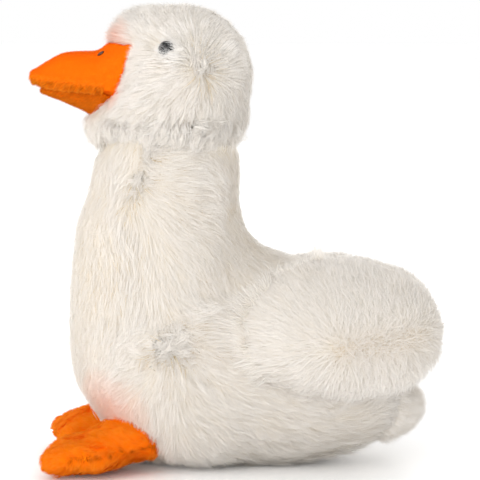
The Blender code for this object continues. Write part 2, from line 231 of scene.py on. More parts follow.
def stuffed(name, node, depth, voxel, swell, cloth, onto=(), under=(), shape=None, reach=()):
    """The filled bag of one piece, a pile's depth inside its solid.

    It is drawn into the pieces that it is sewn onto, left flat under those sewn onto it, and
    carried on over the points that it has to reach.
    """
    piece = bpy.data.objects.new(name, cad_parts[node].data.copy())
    bpy.context.collection.objects.link(piece)
    piece.data.materials.clear()
    piece.data.materials.append(cloth)
    if len(reach):
        form = bmesh.new()
        form.from_mesh(piece.data)
        bmesh.ops.convex_hull(form, input=[form.verts.new(spot) for spot in reach])
        form.to_mesh(piece.data)
        form.free()
    shell = piece.modifiers.new("shell", "REMESH")
    shell.mode = "VOXEL"
    shell.voxel_size = voxel
    even = piece.modifiers.new("even", "SMOOTH")
    even.iterations = 3
    applied(piece)
    points = numbers(piece.data.vertices, "co")
    normals = numbers(piece.data.vertices, "normal")
    drawn_in = np.zeros_like(points)
    sewn = np.zeros(len(points), bool)
    for other in (*onto, *under):
        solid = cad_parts[other].data
        tree = BVHTree.FromPolygons([v.co for v in solid.vertices], [p.vertices for p in solid.polygons])
        for i, probe in enumerate(points + SEWN_GAP * normals):
            spot, facing, _, _ = tree.find_nearest(Vector(probe), SEWN_SEARCH)
            if spot is not None and inside(tree, Vector(probe)):
                sewn[i] = True
                drawn_in[i] = -facing if other in onto else (0.0, 0.0, 0.0)
    sunk = points - ((depth + swell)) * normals
    piece.data.vertices.foreach_set("co", sunk.astype(np.float32).ravel())
    piece.data.update()
    filled(piece, swell)
    points = numbers(piece.data.vertices, "co")
    if shape is not None:
        points = shape(points, normals)
    points += SEAM_ALLOWANCE * drawn_in
    piece.data.vertices.foreach_set("co", points.astype(np.float32).ravel())
    piece.data.update()
    free = piece.data.attributes.new("free", "FLOAT", "POINT")
    free.data.foreach_set("value", 1.0 - sewn)
    piece.modifiers.new("rounder", "SUBSURF").levels = 1
    applied(piece)
    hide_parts(node)
    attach(piece, "root")
    return piece


def bare(skin):
    """For each point of a bag, 0 where a neighbour is sewn against it and 1 where it is open."""
    return numbers(skin.data.attributes["free"].data, "value", 1)[:, 0].clip(0.0, 1.0)


def rooted(skin, count, share, seed):
    """Spread roots over a bag, thinner where its points have a smaller share."""
    rng = np.random.default_rng(seed)
    mesh = skin.data
    mesh.calc_loop_triangles()
    corners = np.empty(len(mesh.loop_triangles) * 3, np.int32)
    mesh.loop_triangles.foreach_get("vertices", corners)
    corners = corners.reshape(-1, 3)
    points = numbers(mesh.vertices, "co")
    normals = numbers(mesh.vertices, "normal")
    a, b, c = (points[corners[:, k]] for k in range(3))
    area = np.linalg.norm(np.cross(b - a, c - a), axis=1) * share[corners].mean(axis=1)
    total = np.cumsum(area)
    drawn = (np.arange(count) + rng.random(count)) / count * total[-1]
    face = np.searchsorted(total, drawn).clip(0, len(total) - 1)
    u, v = rng.random(count), rng.random(count)
    over = u + v > 1.0
    u[over], v[over] = 1.0 - u[over], 1.0 - v[over]
    weights = np.stack([1.0 - u - v, u, v], axis=1)
    roots = sum(weights[:, k : k + 1] * points[corners[face, k]] for k in range(3))
    raised = sum(weights[:, k : k + 1] * normals[corners[face, k]] for k in range(3))
    return roots, unit(raised)


# How far a tuft and a single hair in it stray: in radians off the comb's way and in how they
# rise, and in their share of the pile's length
TUFT_TURN = 0.12
HAIR_TURN = 0.14
TUFT_LEAN = 0.04
HAIR_LEAN = 0.08
TUFT_SPREAD = 0.09
HAIR_SPREAD = 0.10
HAIR_ROLL = 0.35
# The share of the skin's own facing in a hair's shading, and of the gather at its middle
SKIN_SHADING = 0.85
MIDDLE_GATHER = 0.45


def hair(name, roots, raised, way, length, lift, width, tuft, gather, tone, coat, slot, seed, **look):
    """Tapered hairs that lean along the comb's way and gather into tufts towards their tips."""
    rng = np.random.default_rng(seed)
    count = len(roots)
    arch = look.get("arch", 0.28)
    stray = look.get("stray", 1.0)
    bent = look.get("bent", True)
    lead = rng.permutation(count)[: max(1, count // tuft)]
    finder = KDTree(len(lead))
    for i, k in enumerate(lead):
        finder.insert(roots[k], i)
    finder.balance()
    led = np.array([finder.find(root)[1] for root in roots])
    turn = stray * (rng.normal(0.0, TUFT_TURN, len(lead))[led] + rng.normal(0.0, HAIR_TURN, count))
    flat = unit(way - (way * raised).sum(axis=1, keepdims=True) * raised)
    side = np.cross(flat, raised)
    flat = flat * np.cos(turn)[:, None] + side * np.sin(turn)[:, None]
    side = np.cross(flat, raised)
    leaning = rng.normal(0.0, TUFT_LEAN, len(lead))[led] + rng.normal(0.0, HAIR_LEAN, count)
    lean = lift + stray * leaning
    long = length * (rng.normal(1.0, TUFT_SPREAD, len(lead))[led] + rng.normal(0.0, HAIR_SPREAD, count))
    half = (long / 2)[:, None]
    rise, fall = (lean + arch)[:, None], (lean - arch)[:, None]
    middle = roots + half * (np.sin(rise) * raised + np.cos(rise) * flat)
    tip = middle + half * (np.sin(fall) * raised + np.cos(fall) * flat)
    drawn = (gather * rng.uniform(0.5, 1.0, count))[:, None]
    head = lead[led]
    middle += MIDDLE_GATHER * drawn * (middle[head] - middle)
    tip += drawn * (tip[head] - tip)
    for row in (middle, tip):
        row[:, 2] = np.maximum(row[:, 2], FLOOR_GAP)
    roll = rng.normal(0.0, HAIR_ROLL, count)[:, None]
    across = np.cos(roll) * side + np.sin(roll) * raised
    thick = (width * rng.uniform(0.75, 1.2, count) / 2)[:, None]
    flank = unit(np.cross(across, tip - roots))
    facing = unit(SKIN_SHADING * raised + (1.0 - SKIN_SHADING) * flank)
    if bent:
        rows = (roots - thick * across, roots + thick * across)
        rows += (middle - 0.8 * thick * across, middle + 0.8 * thick * across, tip)
        pattern = np.array([0, 1, 3, 0, 3, 2, 2, 3, 4])
        stages = np.array([0.0, 0.0, 0.5, 0.0, 0.5, 0.5, 0.5, 0.5, 1.0])
    else:
        rows = (roots - thick * across, roots + thick * across, tip)
        pattern = np.array([0, 1, 2])
        stages = np.array([0.0, 0.0, 1.0])
    corners = len(pattern)
    points = np.stack(rows, axis=1).reshape(-1, 3)
    faces = (np.arange(count)[:, None] * len(rows) + pattern).ravel()
    mesh = bpy.data.meshes.new(name)
    mesh.vertices.add(len(points))
    mesh.vertices.foreach_set("co", points.astype(np.float32).ravel())
    mesh.loops.add(count * corners)
    mesh.loops.foreach_set("vertex_index", faces.astype(np.int32))
    mesh.polygons.add(count * corners // 3)
    mesh.polygons.foreach_set("loop_start", np.arange(0, count * corners, 3, dtype=np.int32))
    mesh.update(calc_edges=True)
    tints = np.repeat(np.clip(tone, 0.01, 0.99), corners)
    low = np.repeat(np.clip(look.get("root_tone", tone), 0.01, 0.99), corners)
    stages = np.tile(stages, count)
    spots = np.stack([np.where(stages > 0.0, tints, low), stages], axis=1)
    mesh.uv_layers.new(name="OFBake").data.foreach_set("uv", spots.astype(np.float32).ravel())
    mesh.shade_smooth()
    mesh.normals_split_custom_set_from_vertices(np.repeat(facing, len(rows), axis=0).tolist())
    mesh.materials.append(coat)
    piece = bpy.data.objects.new(name, mesh)
    bpy.context.collection.objects.link(piece)
    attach(piece, "root")
    return piece


def brushed(points, strokes, reach):
    """The comb's way at each point, blended from strokes made in the side view."""
    way = np.zeros_like(points)
    for y, z, angle in strokes:
        away = ((points[:, 1] - y) ** 2 + (points[:, 2] - z) ** 2) / reach**2
        weight = np.exp(-away) + 1e-5 / (1.0 + away)
        way[:, 1] += weight * math.cos(math.radians(angle))
        way[:, 2] += weight * math.sin(math.radians(angle))
    return way


def near(points, centre, reach):
    """1 at a place on either flank, falling smoothly to 0 over its reach."""
    gap = np.stack([np.abs(points[:, 0]), points[:, 1], points[:, 2]], axis=1) - np.array(centre)
    return np.exp(-(gap**2).sum(axis=1) / reach**2)


def parting(points, start, end, loose):
    """The way off a parting line on either flank, unsure within a loose distance, and how far."""
    sign = np.where(points[:, :1] < 0.0, -1.0, 1.0)
    hand = sign * np.array([1.0, 0.0, 0.0]) + np.array([0.0, 1.0, 1.0])
    run = np.array(end) - np.array(start)
    spot = np.clip(((points * hand - np.array(start)) @ run) / (run @ run), 0.0, 1.0)[:, None]
    off = points * hand - (np.array(start) + spot * run)
    wander = np.random.default_rng(29).normal(0.0, loose, points.shape)
    return unit(off + wander) * hand, np.linalg.norm(off, axis=1)


def ripple(points, size, seed):
    """A smooth wandering value, about -1 to 1, that changes over a given size."""
    rng = np.random.default_rng(seed)
    total = np.zeros(len(points))
    for _ in range(6):
        heading = rng.normal(size=3)
        heading *= math.tau / size / np.linalg.norm(heading) * rng.uniform(0.6, 1.5)
        total += np.sin(points @ heading + rng.uniform(0.0, math.tau))
    return total / 3.0


def ramp(values, zero_at, one_at):
    """0 as far as one value and 1 from another, straight between them."""
    return np.clip((values - zero_at) / (one_at - zero_at), 0.0, 1.0)


def fading(gap, reach):
    """1 at no distance, falling smoothly to 0 over a reach."""
    return np.exp(-((gap / reach) ** 2))


def by_line(points, line, reach):
    """1 on a line on either flank, falling smoothly to 0 over a reach."""
    return fading(parting(points, *line, 0.0)[1], reach)


def plain(chance):
    """The tint of plain fibres, each a little different."""
    return 0.02 + 0.28 * chance


# How far the filling stands out at the chin, the nape and the breast, and how far the wings
# press the back in
CHIN_SWELL = 0.0040
NAPE_SWELL = 0.0032
BREAST_SWELL = 0.0034
BACK_PRESS = 0.0065


def shaped_body(points, normals):
    """Fill out the neck's chin and nape and the breast, and press the back in below the wings."""
    x, y, z = points.T
    chin = fading(z - 0.188, 0.016) * ramp(y, -0.055, -0.070)
    nape = ramp(z, 0.140, 0.160) * ramp(y, -0.025, -0.005)
    breast = ramp(y, -0.060, -0.080) * ramp(z, 0.175, 0.155) * ramp(z, 0.035, 0.055)
    pressed = ramp(np.abs(x), 0.020, 0.032) * ramp(y, 0.015, 0.030) * ramp(z, 0.095, 0.110)
    swell = CHIN_SWELL * chin + NAPE_SWELL * nape + BREAST_SWELL * breast - BACK_PRESS * pressed
    return points + swell[:, None] * normals


body = stuffed(
    "body_bag",
    "body",
    depth=BODY_PILE_DEPTH,
    voxel=0.0060,
    swell=0.0014,
    cloth=backing,
    under=("head", "left_wing", "right_wing", "tail", "left_foot", "right_foot"),
    shape=shaped_body,
)
open_share = bare(body)
# Strokes of the comb in the side view: place along the body, height, and heading, where 0 is
# towards the tail and 90 is up
body_strokes = (
    (-0.086, 0.199, -90),
    (-0.088, 0.180, -85),
    (-0.077, 0.192, -110),
    (-0.069, 0.195, -120),
    (-0.074, 0.180, -100),
    (-0.055, 0.192, 20),
    (-0.043, 0.199, 25),
    (-0.046, 0.184, 5),
    (-0.031, 0.190, -15),
    (-0.015, 0.196, -40),
    (-0.003, 0.192, -65),
    (-0.055, 0.171, -45),
    (-0.055, 0.158, -75),
    (-0.080, 0.158, -88),
    (-0.095, 0.143, -90),
    (-0.031, 0.171, -22),
    (-0.012, 0.174, -38),
    (-0.001, 0.165, -55),
    (-0.034, 0.152, -38),
    (-0.015, 0.152, -52),
    (0.006, 0.146, -42),
    (0.025, 0.141, -18),
    (-0.080, 0.134, -78),
    (-0.092, 0.112, -86),
    (-0.055, 0.125, -82),
    (-0.034, 0.134, -55),
    (-0.018, 0.128, -62),
    (-0.003, 0.125, -72),
    (-0.074, 0.112, -82),
    (-0.049, 0.109, -70),
    (-0.031, 0.099, 15),
    (-0.015, 0.096, -5),
    (-0.061, 0.090, -150),
    (-0.080, 0.084, -120),
    (-0.095, 0.069, -100),
    (-0.067, 0.066, -150),
    (-0.083, 0.056, -130),
    (-0.090, 0.047, -110),
    (-0.046, 0.056, -95),
    (-0.055, 0.038, -100),
    (-0.031, 0.059, -48),
    (-0.015, 0.081, -15),
    (0.000, 0.069, -8),
    (-0.006, 0.053, -15),
    (0.018, 0.053, -10),
    (-0.025, 0.032, -50),
    (0.000, 0.032, -30),
    (-0.043, 0.019, -80),
    (-0.018, 0.016, -60),
    (0.037, 0.041, -5),
    (0.067, 0.035, 0),
    (0.037, 0.022, -20),
    (0.080, 0.044, -10),
    (0.037, 0.143, -8),
)
STROKE_REACH = 0.012
# Places on the left flank: the gathered dart, two folds in the neck, the crease below the wing,
# the wing's front edge, and where the pile is pink, shorn, wavy or parted, or painted cream as shade
DART = (0.0625, -0.0440, 0.0820)
DART_FOLD = ((0.0625, -0.0560, 0.0850), (0.0630, -0.0380, 0.0800))
NECK_FOLDS = (
    ((0.0360, -0.0565, 0.2010), (0.0390, -0.0615, 0.1945)),
    ((0.0390, -0.0620, 0.1860), (0.0420, -0.0695, 0.1715)),
)
WING_CREASE = ((0.0600, 0.0020, 0.0800), (0.0620, 0.0330, 0.0620))
WING_FRONT = ((0.0580, 0.0060, 0.0820), (0.0480, 0.0260, 0.1360))
OVER_FOOT = (0.0380, -0.0790, 0.0450)
BESIDE_FOOT = (0.0420, -0.0790, 0.0330)
WAVES = (0.0640, -0.0180, 0.0980)
SIDE_NECK = (0.0420, -0.0160, 0.1760)
BREAST_PAINTED_SHADE = (0.0400, -0.0820, 0.1300)


def drawn_in_cloth(points):
    """1 where a fold or the dart gathers the body's backing, which is given painted shade."""
    return np.max([by_line(points, fold, 0.0040) for fold in (*NECK_FOLDS, DART_FOLD)], axis=0)


lined(body, painted_seam_shade, drawn_in_cloth)
points = numbers(body.data.vertices, "co")
back_share = 0.7 * (points[:, 1] > 0.028) * (points[:, 2] > 0.095)
for hand, side in (("left", 1.0), ("right", -1.0)):
    share = np.maximum(open_share, back_share) * (side * points[:, 0] > -0.001)
    # Long hairs that bend, over a dense layer of fine straight ones
    for kind, count, size, bent in (("fur", 23000, 1.0, True), ("down", 74000, 0.85, False)):
        roots, raised = rooted(body, count, share, seed=11 + int(side) + 4 * bent)
        _, y, z = roots.T
        # The comb's way, parted at the neck's folds, crumpled round the dart and never quite even
        way = unit(brushed(roots, body_strokes, STROKE_REACH))
        folded = by_line(roots, DART_FOLD, 0.0050)
        for fold in NECK_FOLDS:
            off, gap = parting(roots, *fold, 0.0040)
            way += 0.7 * fading(gap, 0.008)[:, None] * (off + np.array([0.0, 0.2, 0.5]))
            folded = np.maximum(folded, fading(gap, 0.0040))
        folded *= 0.45
        crumple = near(roots, DART, 0.017)
        curl = np.stack([np.zeros(count), ripple(roots, 0.011, 22), ripple(roots, 0.011, 23)], axis=1)
        way += 1.5 * crumple[:, None] * curl
        way += 0.30 * ripple(roots, 0.034, 5)[:, None] * np.cross(unit(way), raised)
        # The pile is shorter on the breast and the nape, over the feet and before the wing
        front = ramp(y, -0.070, -0.090)
        nape = ramp(y, -0.022, -0.010) * ramp(z, 0.140, 0.160)
        peach = near(roots, OVER_FOOT, 0.018)
        shorn = np.maximum(0.45 * peach, 0.60 * near(roots, BESIDE_FOOT, 0.011))
        before_wing = by_line(roots, WING_FRONT, 0.011)
        length = size * BODY_PILE_LENGTH * (1.0 - 0.30 * front - 0.35 * nape) * (1.0 - shorn)
        length *= 1.0 - 0.75 * before_wing
        # It rises in rough locks on the neck's side, the low flank and round the dart
        side_neck = near(roots, SIDE_NECK, 0.026)
        low_flank = ramp(z, 0.085, 0.065) * ramp(y, -0.050, -0.030)
        waves = near(roots, WAVES, 0.026)
        rough = np.clip(0.14 + side_neck + crumple + 0.9 * low_flank + 0.7 * waves, 0.0, 1.0)
        rough *= 1.0 - np.maximum(nape, 0.9 * front)
        lift = (0.14 + 0.13 * rough * (1.0 + ripple(roots, 0.022, 8))) * (1.0 - 0.8 * before_wing)
        lift += 0.10 * crumple + 0.40 * ramp(y, 0.074, 0.084) * raised[:, 1].clip(0.0, 1.0)
        # Cream fibres as painted shade in the folds and on the breast, pink ones over the feet, and
        # cream roots as painted shade where the locks part and along the crease below the wing
        chance = np.random.default_rng(21).random(count)
        tone = np.where(chance < 0.75 * folded, 0.43, plain(chance))
        tone = np.where(chance < 0.08 * near(roots, BREAST_PAINTED_SHADE, 0.022), 0.38, tone)
        tone = np.where(peach > 0.10, 0.60 + 0.17 * peach * (0.5 + 0.5 * chance), tone)
        painted_gap_shade = np.clip(0.8 * folded + 0.9 * by_line(roots, WING_CREASE, 0.006), 0.0, 1.0)
        painted_gap_shade += np.clip(side_neck + crumple + 0.7 * waves, 0.0, 1.0) * (ripple(roots, 0.010, 18) > 0.45)
        hair(
            hand + "_body_" + kind,
            roots,
            raised,
            way,
            length,
            lift,
            width=BODY_HAIR_WIDTH if bent else 0.85 * BODY_HAIR_WIDTH,
            tuft=30,
            gather=0.04 + 0.34 * rough + 0.26 * crumple,
            tone=tone,
            coat=white_fur,
            slot="white_fur",
            seed=31 + int(side) + 4 * bent,
            bent=bent,
            root_tone=np.where(chance < 0.85 * painted_gap_shade, 0.49, tone),
        )


def locks(name, skin, share, count, heading, length, lift, seed):
    """Curly locks of the long pile that lie over a fold, a whorl or a seam."""
    roots, raised = rooted(skin, count, share, seed)
    wander = ripple(roots, 0.010, seed + 1)[:, None] * np.array([0.0, 1.0, 0.3])
    wander += ripple(roots, 0.012, seed + 2)[:, None] * np.array([0.0, 0.2, 0.8])
    chance = np.random.default_rng(seed + 3).random(count)
    hair(
        name,
        roots,
        raised,
        np.array(heading) + 0.80 * wander,
        length * (0.8 + 0.4 * chance),
        lift + 0.18 * ripple(roots, 0.010, seed + 4),
        width=0.00042,
        tuft=24,
        gather=np.full(count, 0.60),
        tone=plain(chance),
        coat=white_fur,
        slot="white_fur",
        seed=seed + 5,
        arch=0.60,
        stray=2.0,
        # Half the locks have cream roots, painted shade between the curls
        root_tone=np.where(chance < 0.5, 0.46, 0.2),
    )


gathered = open_share * near(points, DART, 0.0080)
locks("dart_locks", body, gathered, 2400, (0.0, 0.4, 0.4), length=0.0135, lift=0.16, seed=90)
for place, fold in zip(("upper", "lower"), NECK_FOLDS):
    folded = open_share * by_line(points, fold, 0.0035)
    locks(place + "_fold_locks", body, folded, 700, (0.0, 0.8, 0.6), length=0.0110, lift=0.08, seed=100)

# Head
# A smaller ball of the same fur, drawn on over the neck. The pile runs out from a whorl on
# each cheek, stands short over the crown, and hangs in curly locks over the neck seam.
HEAD_PILE_DEPTH = 0.0034
HEAD_PILE_LENGTH = 0.0150
WHORL = (0.0415, -0.0215, 0.2560)
WHORL_LINE = ((0.0410, -0.0235, 0.2630), (0.0420, -0.0205, 0.2490))
BEHIND_WHORL = (0.0430, -0.0180, 0.2690)
FORELOCK = (0.0360, -0.0336, 0.2690)
EYE_PLACE = (0.0438, -0.0445, 0.2655)
EYE_REAR = (0.0430, -0.0375, 0.2645)
BROW = (0.0080, -0.0640, 0.2790)
BROW_TOP = (0.0080, -0.0640, 0.2810)
BROW_REACH = 0.014
BROW_SWELL = 0.0034
QUIFF = (0.0060, -0.0700, 0.2760)
BILL_CORNER = (0.0220, -0.0780, 0.2400)
OVER_BILL = (0.0120, -0.0715, 0.2700)
RUFF_HEIGHT = 0.212
CLOTH_TOP = 0.2650
CLOTH_BOTTOM = 0.2240
VELOUR_LOOP_MM = 0.91

# Short orange velour: a dense even pile, deeper orange between the fibres as painted shade and
# lighter at their ends
velour = piled(
    "orange_velour_pile",
    roughness=0.8,
    specular=0.08,
    along=((0.0, "FF9A00"), (0.6, "FFA41C"), (1.0, "FFB040")),
    tints=(
        (0.0, "FFE4A0"),
        (0.2, "FFE0B0"),
        (0.35, "FFFFFF"),
        (0.6, "FFF4E8"),
        (0.8, "ECD4B8"),
        (1.0, "D0B090"),
    ),
    through=0.50,
)

# Orange knitted ground under the velour's pile: matt, and a little deeper in colour
orange_ground = mottled(
    "orange_velour_ground",
    0.85,
    VELOUR_LOOP_MM,
    "FF8A00",
    "FF9A14",
    relief=0.0005,
    Specular_IOR_Level=0.08,
)


def on_bill_side(points):
    """How far a point lies on the bill's side of the slanting line where the orange cloth ends."""
    return -0.0634 - 0.60 * (0.2675 - points[:, 2]) - points[:, 1]


def orange_part(points):
    """1 on the head's orange cloth round the bill, falling smoothly to 0 beside it."""
    top = CLOTH_TOP + 0.11 * np.abs(points[:, 0]) - points[:, 2]
    tongue = 0.0035 * fading(points[:, 2] - 0.2375, 0.0040)
    edge = np.minimum(on_bill_side(points) + tongue, np.minimum(top, points[:, 2] - CLOTH_BOTTOM))
    return np.clip(edge / 0.002 + 0.5, 0.0, 1.0)


def fuller_brow(points, normals):
    """Fill the brow out above the bill."""
    return points + BROW_SWELL * near(points, BROW, BROW_REACH)[:, None] * normals


head = stuffed(
    "head_bag",
    "head",
    depth=HEAD_PILE_DEPTH,
    voxel=0.0045,
    swell=0.0014,
    cloth=backing,
    onto=("body",),
    under=("upper_bill", "lower_bill"),
    shape=fuller_brow,
)
lined(head, orange_ground, orange_part)
# Painted shade in the backing along the whorl's parting
lined(head, painted_seam_shade, lambda points: parting(points, *WHORL_LINE, 0.0)[1] < 0.0030)
# Strokes of the comb over the head, as for the body
head_strokes = (
    (-0.067, 0.281, 145),
    (-0.055, 0.289, 108),
    (-0.037, 0.292, 86),
    (-0.015, 0.286, 60),
    (0.000, 0.269, 30),
    (-0.049, 0.278, 96),
    (-0.037, 0.281, 82),
    (-0.021, 0.281, 62),
    (-0.009, 0.275, 45),
    (-0.024, 0.266, 55),
    (-0.017, 0.271, 45),
    (-0.031, 0.269, 100),
    (-0.038, 0.273, 130),
    (-0.046, 0.272, 140),
    (-0.038, 0.264, 192),
    (-0.055, 0.263, 180),
    (-0.058, 0.272, 148),
    (-0.074, 0.275, 172),
    (-0.069, 0.259, 188),
    (-0.055, 0.250, 192),
    (-0.068, 0.247, 198),
    (-0.043, 0.250, 187),
    (-0.055, 0.238, 208),
    (-0.070, 0.225, 218),
    (-0.083, 0.219, 225),
    (-0.092, 0.219, 250),
    (-0.095, 0.212, 265),
    (-0.031, 0.241, 235),
    (-0.040, 0.228, 236),
    (-0.055, 0.219, 236),
    (-0.068, 0.212, 238),
    (-0.078, 0.209, 250),
    (-0.021, 0.238, 266),
    (-0.024, 0.222, 260),
    (-0.034, 0.212, 250),
    (-0.046, 0.209, 246),
    (-0.012, 0.241, 310),
    (-0.009, 0.228, 288),
    (-0.012, 0.216, 275),
    (-0.003, 0.250, 342),
    (0.003, 0.238, 290),
    (0.003, 0.222, 275),
    (-0.000, 0.259, 15),
    (-0.009, 0.256, 5),
    (-0.015, 0.262, 35),
    (-0.018, 0.206, 262),
    (-0.003, 0.209, 266),
)
share = bare(head)
for kind, count, size, bent in (("fur", 26000, 1.0, True), ("down", 52000, 0.82, False)):
    roots, raised = rooted(head, count, share, seed=41 + bent)
    _, y, z = roots.T
    # The comb's way, parted at the whorl
    way = unit(brushed(roots, head_strokes, 0.009))
    off, gap = parting(roots, *WHORL_LINE, 0.0050)
    way += 1.1 * fading(gap, 0.009)[:, None] * off
    way[:, 0] *= 0.4
    way += 0.25 * ripple(roots, 0.022, 6)[:, None] * np.cross(unit(way), raised)
    # The pile is shorter on the crown, the rear and the face and longer in the ruff, and it stops
    # short of the bill
    crown = ramp(z, 0.266, 0.278)
    rear = ramp(y, -0.012, 0.000)
    ruff = ramp(z, RUFF_HEIGHT + 0.010, RUFF_HEIGHT)
    face = ramp(y, -0.055, -0.070) * (1.0 - ruff)
    chin = ramp(z, 0.236, 0.228) * ramp(y, -0.070, -0.078)
    quiff = near(roots, QUIFF, 0.010)
    length = 1.0 - 0.26 * crown - 0.30 * rear * (1.0 - ruff) - 0.25 * face + 0.25 * ruff
    length *= size * HEAD_PILE_LENGTH * (1.0 - 0.35 * chin + 0.25 * quiff - 0.25 * ruff * rear)
    before_bill = np.clip((0.0040 - on_bill_side(roots)) / 0.014, 0.42, 1.0)
    length *= np.where(np.abs(z - 0.2500) < 0.0190, before_bill, 1.0)
    # It stands up on the crown, the brow, behind the whorl and where the bill begins
    rough = (1.0 - crown) * (1.0 - rear)
    lift = 0.15 + 0.10 * rough * (1.0 + ripple(roots, 0.018, 9)) + 0.14 * crown
    lift += 0.42 * near(roots, BROW_TOP, BROW_REACH) + 0.30 * quiff
    lift += 0.35 * ramp(on_bill_side(roots), -0.006, -0.001) * (np.abs(z - 0.2480) < 0.0190)
    lift += 0.30 * near(roots, FORELOCK, 0.010) + 0.16 * near(roots, BEHIND_WHORL, 0.013)
    # Cream fibres as painted shade in the whorl, pink ones beside the bill, and cream roots as
    # painted shade where the locks part
    chance = np.random.default_rng(22).random(count)
    peach = 0.3 * near(roots, BILL_CORNER, 0.009) + 0.75 * near(roots, OVER_BILL, 0.0070)
    tone = np.where(chance < 0.75 * fading(gap, 0.0042), 0.42, plain(chance))
    tone = np.where(peach > 0.08, 0.62 + 0.38 * peach * (0.5 + 0.5 * chance), tone)
    shade = 0.7 * fading(gap, 0.003) + 0.6 * rough * (ripple(roots, 0.009, 19) > 0.7)
    # No hair grows from the orange cloth, and few lie across the eye
    orange = orange_part(roots) > 0.25 + 0.5 * chance
    eye_gap = np.stack([np.abs(roots[:, 0]), y, z], axis=1) - np.array(EYE_PLACE)
    flat = unit(way - (way * raised).sum(axis=1, keepdims=True) * raised)
    flat[:, 0] *= np.sign(roots[:, 0])
    reached = np.minimum(np.clip((-eye_gap * flat).sum(axis=1), 0.0, None), length)
    miss = np.linalg.norm(eye_gap[:, 1:] + reached[:, None] * flat[:, 1:], axis=1)
    veil = np.where(eye_gap[:, 1] > 0.002, 0.45, 0.02)
    crosses = (miss < 0.0056) & (np.abs(eye_gap[:, 0]) < 0.012) & (chance > veil)
    pick = np.flatnonzero(~crosses & ~orange)
    hair(
        "head_" + kind,
        roots[pick],
        raised[pick],
        way[pick],
        length[pick],
        lift[pick],
        width=0.00038,
        tuft=28,
        gather=(0.05 + 0.34 * rough + 0.16 * ruff)[pick],
        tone=tone[pick],
        coat=white_fur,
        slot="white_fur",
        seed=42 + bent,
        bent=bent,
        root_tone=np.where(chance < shade, 0.48, tone)[pick],
    )

# A loose lock from behind each eye falls across its rear half
points = numbers(head.data.vertices, "co")
roots, raised = rooted(head, 1100, share * near(points, EYE_REAR, 0.0045), seed=44)
chance = np.random.default_rng(45).random(len(roots))
hair(
    "eye_veil",
    roots + 0.0030 * raised,
    raised,
    np.stack([0.0 * chance, -1.0 + 0.0 * chance, -0.30 + 0.7 * chance], axis=1),
    length=np.full(len(roots), 0.0115),
    lift=np.full(len(roots), 0.42),
    width=0.00044,
    tuft=14,
    gather=np.full(len(roots), 0.35),
    tone=0.15 * chance,
    coat=white_fur,
    slot="white_fur",
    seed=46,
    stray=1.6,
)

# Curly locks hang from the head's lower edge over the neck, and lie over the whorl
low = ramp(points[:, 2], 0.2240, 0.2200)
low *= ramp(points[:, 1], -0.004, -0.012) * ramp(points[:, 1], -0.085, -0.077)
locks("ruff_locks", head, share * low, 7500, (0.0, -0.25, -1.0), length=0.0155, lift=0.34, seed=110)
gathered = share * near(points, WHORL, 0.0070)
locks("whorl_locks", head, gathered, 1300, (0.0, 0.35, 0.7), length=0.0120, lift=0.12, seed=120)

# Wings
# Thick round pads of the long fur, closed by a gathered seam along the outer edge, from
# which the pile parts upwards and downwards. Each is sewn to the back along its inner side.
WING_PILE_DEPTH = 0.0036
WING_PILE_LENGTH = 0.0150
WING_SEAM = ((0.0790, 0.0640, 0.0865), (0.0640, 0.1120, 0.0925))
WING_SEAM_DEPTH = 0.0018
RIGHT_WING_DROP = 0.0020
FRONT_SLOPE = 0.0045
FRONT_DROP = 0.0010


def creased(points, normals, side):
    """Draw the closing seam into the pad and slope its front down to the body."""
    _, y, z = points.T
    made = points - WING_SEAM_DEPTH * by_line(points, WING_SEAM, 0.0055)[:, None] * normals
    made[:, 0] -= side * FRONT_SLOPE * ramp(y, 0.030, 0.006) * (side * normals[:, 0]).clip(0.0, 1.0)
    made[:, 2] -= (0.0 if side > 0 else RIGHT_WING_DROP) * ramp(z, 0.100, 0.120)
    made[:, 2] -= FRONT_DROP * ramp(y, 0.068, 0.038) * normals[:, 2].clip(0.0, 1.0)
    return made


def in_wing_seam(points):
    """1 where the closing seam shows the wing's backing, which is given painted shade."""
    return parting(points, *WING_SEAM, 0.0)[1] < 0.0025


for hand, side, other, tail_end_lift in (("left", 1.0, "right", 0.26), ("right", -1.0, "left", 0.05)):
    wing = stuffed(
        hand + "_wing_bag",
        hand + "_wing",
        depth=WING_PILE_DEPTH,
        voxel=0.0058,
        swell=0.0014,
        cloth=backing,
        onto=("body",),
        under=(other + "_wing",),
        shape=lambda points, normals: creased(points, normals, side),
    )
    lined(wing, painted_seam_shade, in_wing_seam)
    share = np.where(numbers(wing.data.vertices, "co")[:, 2] > 0.102, 1.0, bare(wing))
    for kind, count, size, bent in (("fur", 18000, 1.0, True), ("down", 56000, 0.85, False)):
        roots, raised = rooted(wing, count, share, seed=51 + bent)
        _, y, z = roots.T
        way, gap = parting(roots, *WING_SEAM, 0.0045)
        way += 0.25 * ripple(roots, 0.024, 7)[:, None] * np.cross(unit(way), raised)
        parted = fading(gap, 0.006)
        below = ramp(z, 0.088, 0.078)
        front = ramp(y, 0.024, 0.004)
        length = size * WING_PILE_LENGTH * (1.0 - 0.20 * parted + 0.15 * below) * (1.0 + 0.25 * front)
        lift = 0.13 + 0.05 * (1.0 + ripple(roots, 0.022, 10)) * (0.3 + 0.7 * below) + 0.10 * parted
        lift += tail_end_lift * ramp(z, 0.108, 0.124) * ramp(y, 0.045, 0.065) - 0.10 * front
        chance = np.random.default_rng(23).random(count)
        hair(
            hand + "_wing_" + kind,
            roots,
            raised,
            way,
            length,
            lift,
            width=0.00038 if bent else 0.00032,
            tuft=30,
            gather=0.05 + 0.06 * below,
            tone=plain(chance),
            coat=white_fur,
            slot="white_fur",
            seed=52 + bent,
            bent=bent,
            # Cream roots along the closing seam are painted shade
            root_tone=np.where(chance < 0.75 * parted, 0.49, plain(chance)),
        )

